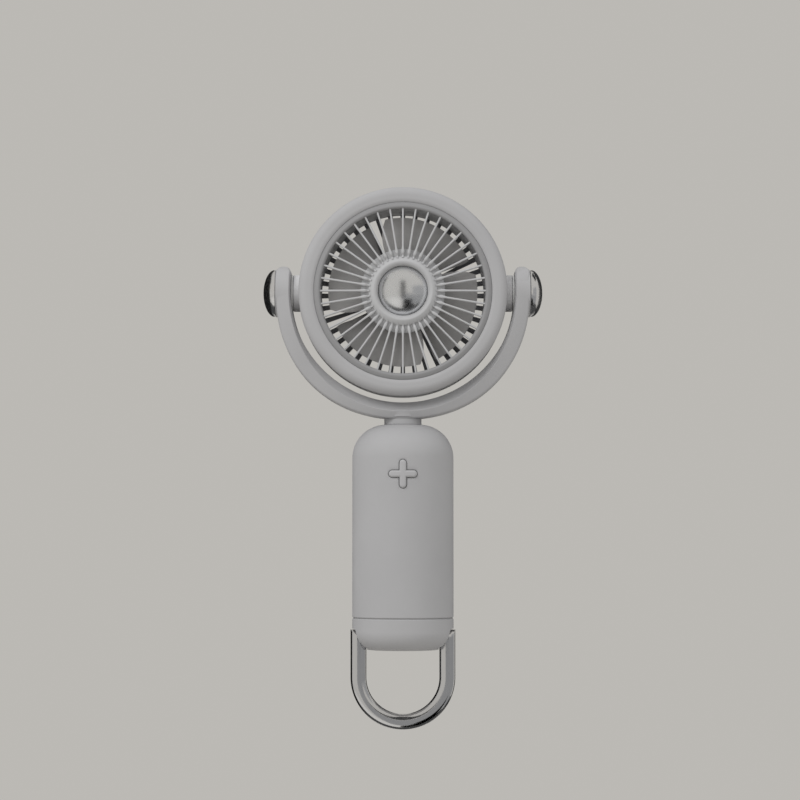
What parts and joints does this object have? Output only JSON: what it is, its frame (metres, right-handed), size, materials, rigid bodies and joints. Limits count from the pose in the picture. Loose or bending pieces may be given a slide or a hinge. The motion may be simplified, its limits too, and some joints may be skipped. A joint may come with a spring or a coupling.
{
  "type": "hand-held rechargeable fan",
  "caption": "Hand-held rechargeable fan: a round head with a ribbed grille tilts in a C-shaped yoke on a cylindrical handle, with a push button and a metal carry loop.",
  "frame": {"origin": "middle of the base cap's flat underside", "axes": "+Z along the handle towards the head, -Y the side that the air and the button face, +X to the right as seen from the front"},
  "size_m": [0.1006, 0.0372, 0.1942],
  "materials": {
    "pale_shell": "satin moulded",
    "pale_button": "satin moulded",
    "pale_grille": "satin moulded",
    "grey_rotor": "smooth",
    "black_plastic": "matt",
    "nylon_washer": "smooth",
    "bright_chrome": "polished",
    "satin_metal": "satin",
    "plain_steel": "plain",
    "circuit_board": "solder resist",
    "cell_sleeve": "shrink sleeve"
  },
  "bodies": {
    "handle": {"handle_shell": "pale_shell", "base_cap": "pale_shell", "battery_cell": "cell_sleeve", "cell_carrier": "black_plastic", "main_board": "circuit_board", "push_switch": "black_plastic", "charge_board": "circuit_board", "charging_socket": "plain_steel", "neck_collar": "pale_shell", "neck_nut": "plain_steel", "yoke": "pale_shell", "knob_cap_right": "bright_chrome", "knob_cap_left": "bright_chrome", "pivot_pin_right": "plain_steel", "pivot_pin_left": "plain_steel", "friction_washer_right": "nylon_washer", "friction_washer_left": "nylon_washer"},
    "button": {"power_button": "pale_button"},
    "loop": {"carry_loop": "bright_chrome", "loop_pin_right": "plain_steel", "loop_pin_left": "plain_steel"},
    "head": {"tilt_sleeve_right": "pale_shell", "tilt_sleeve_left": "pale_shell", "front_bezel": "pale_shell", "rear_shell": "pale_shell", "front_grille": "pale_grille", "hub_cap": "satin_metal", "rear_grille": "black_plastic", "motor_body": "plain_steel"},
    "rotor": {"fan_rotor": "grey_rotor", "motor_shaft": "plain_steel"}
  },
  "joints": [
    {"name": "head_tilt", "type": "hinge", "parent": "handle", "child": "head", "pos_m": [0, 0, 0.1283], "axis": [1, 0, 0], "range_deg": [-90, 90]},
    {"name": "blade_spin", "type": "hinge", "parent": "head", "child": "rotor", "pos_m": [0, 0, 0.1283], "axis": [0, 1, 0], "continuous": true},
    {"name": "button_press", "type": "slide", "parent": "handle", "child": "button", "axis": [0, 1, 0], "range_m": [0, 0.0007], "stiffness_N_per_m": 1500, "springref_m": -0.0005},
    {"name": "loop_swing", "type": "hinge", "parent": "handle", "child": "loop", "pos_m": [0, 0, 0.0048], "axis": [1, 0, 0], "range_deg": [-40, 40]}
  ]
}
